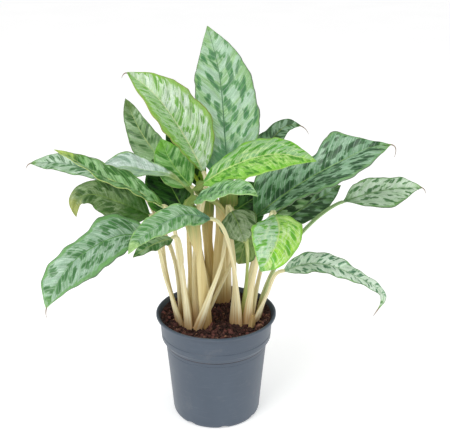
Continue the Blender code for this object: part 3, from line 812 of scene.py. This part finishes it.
makeLeafPaint()
looks = dict(
    silver=dict(
        core=(42, 104, 54), streak=(216, 234, 218), line=(208, 228, 208), margin=(118, 168, 92),
        edge=(104, 118, 100), rib=(70, 116, 78), tip=(116, 164, 76), base=(110, 160, 104),
    ),
    bright=dict(
        cloud=(182, 220, 158), blotch=(122, 182, 64), core=(76, 148, 48), edge=(160, 160, 84),
        rib=(222, 236, 184), tip=(110, 170, 60), base=(110, 160, 84),
    ),
    sage=dict(
        ground=(152, 184, 138), cloud=(118, 154, 98), blotch=(74, 118, 56), core=(46, 86, 40),
        streak=(180, 202, 160), line=(166, 190, 140), margin=(92, 132, 66), edge=(110, 120, 84),
        rib=(170, 190, 120), tip=(86, 118, 50), base=(150, 190, 130),
    ),
    grass=dict(
        cloud=(96, 160, 60), blotch=(74, 142, 48), core=(50, 116, 36), streak=(168, 208, 136),
        line=(156, 202, 122), margin=(84, 150, 46), edge=(150, 186, 96), rib=(150, 196, 100),
        tip=(110, 176, 48), base=(124, 172, 70),
    ),
    # dark: for leaves deep in the plant; these dark greens are partly the duller green of older leaves and
    # partly painted shade
    dark=dict(
        cloud=(28, 70, 20), blotch=(16, 50, 16), core=(8, 32, 12), streak=(92, 140, 62), line=(70, 118, 52),
        margin=(48, 100, 28), edge=(84, 122, 56), rib=(104, 142, 60), tip=(74, 118, 40), base=(90, 124, 44),
    ),
    grey=dict(
        ground=(204, 220, 212), cloud=(186, 208, 194), blotch=(132, 166, 140), core=(92, 128, 104),
        streak=(110, 142, 116), margin=(136, 180, 104), edge=(120, 150, 104), rib=(150, 186, 130),
        tip=(130, 160, 90), base=(150, 172, 90), blotchLow=0.6, streakAmount=0.4, baseUpTo=0.22,
    ),
    olive=dict(
        ground=(114, 142, 88), cloud=(88, 122, 58), blotch=(64, 100, 42), core=(42, 78, 28),
        streak=(156, 176, 134), line=(140, 164, 112), margin=(70, 112, 40), edge=(116, 126, 76),
        rib=(120, 150, 74), tip=(168, 176, 96), base=(60, 104, 30),
    ),
    fresh=dict(
        ground=(142, 208, 74), cloud=(108, 186, 38), blotch=(80, 158, 26), core=(54, 130, 22),
        streak=(226, 243, 186), margin=(122, 190, 44), edge=(164, 206, 96), rib=(206, 228, 150),
        tip=(126, 186, 60), base=(116, 176, 84),
    ),
    under=dict(
        ground=(140, 168, 124), cloud=(124, 156, 104), blotch=(108, 144, 88), core=(92, 130, 74),
        streak=(164, 184, 144), line=(164, 184, 140), margin=(116, 150, 86), edge=(120, 144, 90),
        rib=(196, 204, 152), tip=(130, 144, 80), base=(150, 170, 104), ribWidth=0.16, bump=0.7, shine=0.3,
        blotchAmount=0.5,
    ),
)


# stalk paint

stalkKit = dict(
    name="stalkPaint", maps=("stalkMap", "fibreMap"), shine=0.3,
    colours=("cream", "pale", "fibre", "foot", "top"),
    numbers=dict(footUpTo=0.16, topFrom=0.8, topAmount=0.3, greenAmount=0.0),
)


def makeStalkPaint():
    p, i, o = newPaint(stalkKit)
    share = p.parts(i["stalkMap"])["Y"]
    patch = p.grain(p.stretch(i["fibreMap"], (1.2, 0.35, 1)), 1.0, 3.0)
    wide = p.grain(p.stretch(i["fibreMap"], (3.0, 0.10, 1)), 1.0, 2.0)
    fibres = p.grain(p.stretch(i["fibreMap"], (11.0, 0.14, 1)), 1.0, 3.0, 0.6)
    colour = p.mix(p.band(wide, 0.4, 0.62), i["cream"], i["pale"])
    colour = p.layer(colour, i["top"], i["greenAmount"], patch, 0.35, 0.62)
    wobble = p.less(wide, 0.5)
    high = p.less(p.timesPlus(wobble, 0.35, share), i["topFrom"])
    colour = p.layer(colour, i["top"], i["topAmount"], high, -0.15, 0.15)
    colour = p.layer(colour, i["fibre"], 0.4, fibres, 0.5, 0.66)
    low = p.less(p.timesPlus(wobble, 0.25, share), i["footUpTo"])
    p.give(o["Color"], p.layer(colour, i["foot"], 0.85, low, -0.16, 0.06, 1, 0))
    p.give(o["Rough"], p.band(fibres, 0.3, 0.7, 0.42, 0.58))
    p.give(o["Height"], p.timesPlus(patch, 0.4, fibres))


makeStalkPaint()
stalkLooks = dict(
    cream=dict(
        cream=(228, 214, 166), pale=(242, 234, 198), fibre=(212, 196, 144), foot=(206, 160, 104),
        top=(206, 212, 146),
    ),
    tan=dict(
        cream=(220, 200, 142), pale=(232, 216, 160), fibre=(192, 168, 106), foot=(180, 136, 80),
        top=(98, 130, 54), topFrom=0.72, topAmount=0.95,
    ),
    sage=dict(
        cream=(196, 206, 150), pale=(214, 220, 176), fibre=(150, 172, 108), foot=(190, 160, 104),
        top=(150, 182, 124), greenAmount=0.6, topFrom=0.45, topAmount=0.9,
    ),
    green=dict(
        cream=(206, 212, 146), pale=(222, 226, 170), fibre=(170, 186, 104), foot=(190, 160, 100),
        top=(140, 176, 76), greenAmount=0.7,
    ),
    dry=dict(
        cream=(182, 150, 96), pale=(212, 184, 130), fibre=(128, 92, 58), foot=(104, 72, 44),
        top=(196, 160, 104),
    ),
    tendril=dict(
        cream=(138, 118, 98), pale=(160, 140, 116), fibre=(108, 88, 72), foot=(124, 108, 80),
        top=(112, 90, 76),
    ),
)


# put the leaves and stalks together

underMaterial = paintedMaterial("leafUnder", leafKit, looks["under"])
driedTip = paintedMaterial("driedTip", stalkKit, stalkLooks["tendril"])
stalkMaterials = {
    name: paintedMaterial("stalk" + name.capitalize(), stalkKit, look) for name, look in stalkLooks.items()
}

for index, (name, leaf) in enumerate(leaves.items()):
    leaf["seed"] = round(0.137 * (index + 1), 3)
    ob, upper = addBlade(name + "Blade", leaf)
    look = {**looks[leaf["look"]], **leaf}
    pair = (paintedMaterial(name + "Paint", leafKit, look), underMaterial)
    for item in pair if upper else pair[::-1]:
        ob.data.materials.append(item)
    if "tendril" in leaf:
        addTendril(ob, leaf)
    settle(ob, name)
    stalk = addStalk(name.replace("leaf", "petiole") + "Stalk", leaf)
    stalk.data.materials.append(stalkMaterials[leaf.get("stalkLook", "cream")])
    settle(stalk, name.replace("leaf", "petiole"))
print("leaves and stalks:", len(leaves))


# pot

potShape = dict(
    around=128, inset=10,
    # radius and height from the middle of the floor, up the inside, over the lip and down the outside
    turned=(
        (40.7, 2.6), (42.2, 4.1), (49.2, 74.6), (49.5, 76.0), (53.4, 82.0), (55.4, 105.6), (57.3, 108.4),
        (57.6, 109.4), (58.0, 109.9), (58.6, 110.05), (59.5, 109.8), (60.0, 109.1), (60.0, 108.0),
        (59.7, 107.3), (59.0, 107.0), (57.2, 106.9), (56.7, 106.4), (56.5, 105.4), (55.35, 90.4),
        (55.05, 90.1), (55.05, 89.7), (55.3, 89.4), (55.0, 84.6), (54.7, 83.8), (53.9, 82.9), (52.1, 80.2),
        (51.4, 79.5), (50.95, 79.1), (50.65, 78.8), (50.6, 78.5), (50.75, 78.2), (50.95, 77.9), (50.9, 77.3),
        (50.65, 74.7), (50.45, 74.5), (50.45, 74.2), (50.6, 74.0), (47.6, 40.0), (44.7, 4.6), (44.3, 2.4),
        (43.5, 0.9), (42.0, 0.15), (40.4, 0.0),
    ),
    # height of the small groove round the pot, where a dark line of painted shade is laid
    ringHeight=78.5,
    # drain holes in the floor, and notches at the foot cut by rods that lie across it
    cuts=(
        dict(count=8, start=0.5, reach=32.2, height=1, radius=3.2, depth=12, sides=24, lying=False),
        dict(count=8, start=0.22, reach=43, height=-3.4, radius=6.5, depth=9, sides=40, lying=True),
    ),
    # ring: painted shade for the groove at ringHeight
    tones=dict(
        dark=(68, 80, 95), light=(74, 86, 101), wear=(100, 110, 122), ring=(40, 46, 56), dust=(108, 110, 114),
    ),
)


def addPot():
    s = potShape
    was, *others = s["turned"]
    bpy.ops.object.select_all(action="DESELECT")
    bpy.ops.mesh.primitive_circle_add(
        vertices=s["around"], radius=was[0] * mm, fill_type="NGON", location=(0, 0, was[1] * mm),
    )
    ob = bpy.context.object
    ob.name = "nurseryPot"
    bpy.ops.object.transform_apply(location=True)
    bpy.ops.object.mode_set(mode="EDIT")
    bpy.ops.mesh.select_all(action="SELECT")
    bpy.ops.mesh.inset(thickness=s["inset"] * mm)  # keeps the floor's middle apart from the first ring
    pickRim(ob)
    for ring in others:
        bpy.ops.mesh.extrude_edges_move(TRANSFORM_OT_translate={"value": (0, 0, (ring[1] - was[1]) * mm)})
        grow = ring[0] / was[0]
        bpy.ops.transform.resize(value=(grow, grow, 1), center_override=(0, 0, 0))
        was = ring
    bpy.ops.mesh.edge_face_add()
    bpy.ops.mesh.inset(thickness=s["inset"] * mm)
    facesOut()
    bpy.ops.object.select_all(action="DESELECT")
    drills = []
    for cut in s["cuts"]:
        for index in range(cut["count"]):
            turn = 2 * math.pi * (index + cut["start"]) / cut["count"]
            reach = cut["reach"] * mm
            bpy.ops.mesh.primitive_cylinder_add(
                vertices=cut["sides"], radius=cut["radius"] * mm, depth=cut["depth"] * mm,
                location=(reach * math.cos(turn), reach * math.sin(turn), cut["height"] * mm),
                rotation=(0, math.pi / 2, turn) if cut["lying"] else (0, 0, 0),
            )
            drills.append(bpy.context.object)
    for drill in drills:
        cut = ob.modifiers.new("drain", "BOOLEAN")
        cut.object = drill
        cut.operation = "DIFFERENCE"
        cut.solver = "EXACT"
    applyAll(ob)
    for drill in drills:
        bpy.data.objects.remove(drill, do_unlink=True)
    pickOnly(ob)
    bpy.ops.object.shade_smooth_by_angle(angle=math.radians(38))
    return ob


def potPlastic():
    material, p, shader = newMaterial("potPlastic")
    tones = {key: tone(*value) for key, value in potShape["tones"].items()}
    where = p.put("TexCoord")["Object"]
    cloud = p.grain(where, 16.0, 3.0)
    wear = p.grain(p.stretch(where, (60, 60, 900)), 1.0, 3.0, 0.6)
    base = p.mix(p.band(cloud, 0.35, 0.65), tones["dark"], tones["light"])
    base = p.layer(base, tones["wear"], 0.25, wear, 0.56, 0.7)
    # painted shade: a thin dark line along the groove at ringHeight
    ring = p.unsigned(p.less(p.parts(where)["Z"], potShape["ringHeight"] * mm))
    base = p.mix(p.band(ring, 0.3 * mm, 0.8 * mm, 0.25, 0), base, tones["ring"])
    base = p.layer(base, tones["dust"], 0.22, p.grain(where, 45.0, 5.0, 0.7), 0.56, 0.72)
    rough = p.plus(p.band(cloud, 0.3, 0.7, 0.30, 0.38), p.times(wear, 0.12))
    height = p.timesPlus(p.grain(where, 900.0, 2.0), 0.5, p.times(wear, 0.5))
    p.finish(shader, base, rough, height, 0.25, 0.2)
    return material


pot = addPot()
pot.data.materials.append(potPlastic())
settle(pot, "pot")
print("pot turned")


# soil

soilShape = dict(
    cells=96, top=101.0, radius=55.2, rise=5.4, bumpy=2.0, lumps=7.0, bankFrom=0.72,
    under=((54.6, 100.0), (53.0, 82.0), (49.0, 74.5), (41.9, 4.8), (40.2, 2.9)),
    crumbs=1900, crumbKinds=4, crumbSize=(0.7, 2.4), crumbRough=0.55, crumbFlat=0.75, fromWall=1.6,
    tones=dict(
        deep=(30, 19, 17), damp=(70, 46, 43), red=(122, 76, 70), bark=(176, 132, 104), dark=(52, 33, 31),
        speck=(160, 122, 110),
    ),
)


def soilHeight(x, y):
    # uneven top, a little higher near the wall
    s = soilShape
    point = Vector((x / s["lumps"], y / s["lumps"], 0.3))
    lift = noise.fractal(point, 0.9, 2.1, 4) * s["bumpy"]
    out = math.hypot(x, y) / s["radius"]
    bank = min(1.0, max(0.0, (out - s["bankFrom"]) / 0.28))
    return s["top"] + lift * (1.0 if out < 0.97 else 0.4) + s["rise"] * bank**1.3


def addCrumbKind(kind):
    bpy.ops.object.select_all(action="DESELECT")
    bpy.ops.mesh.primitive_ico_sphere_add(subdivisions=2, radius=1.0)
    crumb = bpy.context.object
    for vert in crumb.data.vertices:
        push = noise.noise(vert.co * 1.3 + Vector((kind * 9.1, 2.0, 5.0)))
        vert.co *= 1.0 + soilShape["crumbRough"] * push
        vert.co.z *= soilShape["crumbFlat"]
    thin = crumb.modifiers.new("fewer faces", "DECIMATE")
    thin.ratio = 0.5
    applyAll(crumb)
    return crumb


def addSoil():
    s = soilShape
    rng = random.Random(11)
    ob, u, v = gridPiece("pottingSoil", s["cells"], s["cells"])
    x, y = 2 * u - 1, 2 * v - 1
    far = np.maximum(np.abs(x), np.abs(y))
    turn = np.hypot(x, y)
    scale = np.where(turn > 0, far / np.maximum(turn, 1e-6), 0) * s["radius"]  # the square grid, made round
    x, y = x * scale, y * scale
    z = np.array([soilHeight(a, b) for a, b in zip(x, y)])
    movePoints(ob, np.stack([x, y, z], 1))
    pickOnly(ob)
    bpy.ops.object.mode_set(mode="EDIT")
    pickRim(ob)
    was = s["radius"]
    for radius, height in s["under"]:
        bpy.ops.mesh.extrude_edges_move(TRANSFORM_OT_translate={"value": (0, 0, 0)})
        bpy.ops.transform.resize(value=(radius / was, radius / was, 1), center_override=(0, 0, 0))
        bm = bmesh.from_edit_mesh(ob.data)
        for vert in bm.verts:
            if vert.select:
                vert.co.z = height * mm
        bmesh.update_edit_mesh(ob.data)
        was = radius
    bpy.ops.mesh.edge_face_add()
    facesOut()
    plain = np.full(len(ob.data.vertices), 0.15)
    layUv(ob, "crumbMap", plain, plain)
    ob.data.uv_layers["crumbMap"].active = True

    kinds = [addCrumbKind(kind) for kind in range(s["crumbKinds"])]
    small, large = s["crumbSize"]
    pieces = []
    for index in range(s["crumbs"]):
        crumb = kinds[index % s["crumbKinds"]].copy()
        crumb.data = crumb.data.copy()
        bpy.context.collection.objects.link(crumb)
        reach = (s["radius"] - s["fromWall"]) * math.sqrt(rng.random())
        angle = rng.random() * 2 * math.pi
        a, b = reach * math.cos(angle), reach * math.sin(angle)
        size = small + (large - small) * rng.random() ** 2.2
        crumb.scale = [size * mm * rng.uniform(0.7, 1.3) for _ in range(3)]
        crumb.rotation_euler = [rng.uniform(0, 6.28) for _ in range(3)]
        crumb.location = (a * mm, b * mm, (soilHeight(a, b) + size * rng.uniform(-0.1, 0.45)) * mm)
        marks = (rng.random(), rng.random())  # how red and how dark this one is
        layer = crumb.data.uv_layers.get("crumbMap") or crumb.data.uv_layers.new(name="crumbMap")
        layer.data.foreach_set("uv", np.tile(marks, len(crumb.data.loops)))
        pieces.append(crumb)
    for kind in kinds:
        bpy.data.objects.remove(kind, do_unlink=True)
    pickOnly(*pieces, ob)
    bpy.ops.object.join()
    for layer in [item for item in ob.data.uv_layers if item.name != "crumbMap"]:
        ob.data.uv_layers.remove(layer)
    bpy.ops.object.shade_smooth_by_angle(angle=math.radians(50))
    return ob


def soilPaint():
    material, p, shader = newMaterial("pottingEarth")
    tones = {key: tone(*value) for key, value in soilShape["tones"].items()}
    where = p.put("TexCoord")["Object"]
    own = p.parts(p.uvMap("crumbMap"))
    clump = p.grain(where, 180.0, 4.0, 0.65)
    speck = p.grain(where, 1100.0, 3.0, 0.6)
    base = p.mix(p.band(clump, 0.36, 0.62), tones["deep"], tones["damp"])
    base = p.layer(base, tones["red"], 0.8, own["X"], 0.35, 0.75)
    base = p.layer(base, tones["bark"], 0.85, own["X"], 0.90, 0.93)
    base = p.layer(base, tones["dark"], 0.6, own["Y"], 0.35, 0.8)
    base = p.layer(base, tones["speck"], 0.45, speck, 0.55, 0.72)
    p.finish(shader, base, p.band(clump, 0.3, 0.7, 0.75, 0.95), p.plus(clump, speck), 0.8, 0.6, 0.2)
    return material


soil = addSoil()
soil.data.materials.append(soilPaint())
settle(soil, "soil")
print("soil filled:", len(soil.data.polygons), "faces")


# dried stub

stubShape = dict(
    places=((35, -20, 100.2), (35, -20, 104.0), (35.3, -20.1, 108.0), (36, -20.5, 114.3)),
    radii=(3.2, 3.0, 2.7, 1.9), radiiAt=(0, 0.3, 0.65, 1.0), flat=0.8, raggedFrom=0.93, columns=20, rows=26,
)


def addStub():
    s = stubShape
    ob, u, share = gridPiece("stalkStub", s["columns"], s["rows"])
    line = np.linspace(0, 1, 61)
    spot = readOff(share, line, smoothPath(s["places"], 61))
    radius = np.interp(share, s["radiiAt"], s["radii"])
    angle = 2 * math.pi * u
    split = 1 + 0.10 * np.cos(angle * 5 + 1) + 0.07 * np.cos(angle * 9 + share * 3)
    spot[:, 0] += radius * split * np.cos(angle)
    spot[:, 1] += radius * split * np.sin(angle) * s["flat"]
    ragged = 1.3 * np.cos(angle * 3 + 0.6) + 0.7 * np.cos(angle * 7)
    spot[:, 2] += np.where(share > s["raggedFrom"], ragged, 0.0)
    movePoints(ob, spot)
    layUv(ob, "stalkMap", u, share)
    layUv(ob, "fibreMap", u * 4 + 1.7, share * 1.3)
    closeTube(ob, 0.01 * mm)
    bpy.ops.object.shade_smooth_by_angle(angle=math.radians(50))
    return ob


stub = addStub()
stub.data.materials.append(stalkMaterials["dry"])
settle(stub, "stalk_stub")
print("stub added")


# floor, light and camera

room = dict(
    floorSize=24.0, floorGlow=0.34,  # the glow keeps the far floor as pale as the near
    backdrop=1.0, skyStrength=0.68, mirrored=0.32, lampSize=0.9, lampAim=(0, 0, 0.2),
    lamps=(("keySoftbox", (-0.7, -0.9, 1.3), 11.0), ("fillSoftbox", (1.1, -0.5, 0.8), 2.5)),
    cameraPlace=(0.0, -0.700, 0.469), cameraTurn=(69.3, 0.0, -0.73), sensor=36.0, lens=62.32, nearest=0.01,
)

bpy.ops.object.select_all(action="DESELECT")
bpy.ops.mesh.primitive_plane_add(size=room["floorSize"])
floor = bpy.context.object
floor.name = "paleFloor"
paper, p, shader = newMaterial("palePaper")
shades = p.grain(p.put("TexCoord")["Object"], 3.0, 3.0)
paperTone = p.mix(p.band(shades, 0.3, 0.7), tone(250, 250, 250), tone(253, 253, 253))
paperLook = {
    "Base Color": paperTone, "Roughness": 0.9, "Specular IOR Level": 0.1,
    "Emission Color": (1.0, 1.0, 1.0, 1.0), "Emission Strength": room["floorGlow"],
}
for socket, value in paperLook.items():
    p.give(shader.inputs[socket], value)
floor.data.materials.append(paper)

sky = bpy.data.worlds.new("studio")
sky.use_nodes = True
p = Painter(sky.node_tree)
rays = p.put("LightPath")
strength = room["skyStrength"]
strength = p.timesPlus(rays["Is Camera Ray"], room["backdrop"] - room["skyStrength"], strength)
strength = p.timesPlus(rays["Is Glossy Ray"], room["mirrored"] - room["skyStrength"], strength)
backdrop = sky.node_tree.nodes["Background"]
p.give(backdrop.inputs[0], (1.0, 1.0, 1.0, 1.0))
p.give(backdrop.inputs[1], strength)
bpy.context.scene.world = sky
bpy.context.scene.view_settings.view_transform = "Standard"

for name, place, power in room["lamps"]:
    bpy.ops.object.light_add(type="AREA", location=place)
    lamp = bpy.context.object
    lamp.name = name
    lamp.data.size = room["lampSize"]
    lamp.data.energy = power
    aim = Vector(room["lampAim"]) - Vector(place)
    lamp.rotation_euler = aim.to_track_quat("-Z", "Y").to_euler()

turn = [math.radians(angle) for angle in room["cameraTurn"]]
bpy.ops.object.camera_add(location=room["cameraPlace"], rotation=turn)
camera = bpy.context.object
camera.data.sensor_width = room["sensor"]
camera.data.lens = room["lens"]
camera.data.clip_start = room["nearest"]
bpy.context.scene.camera = camera
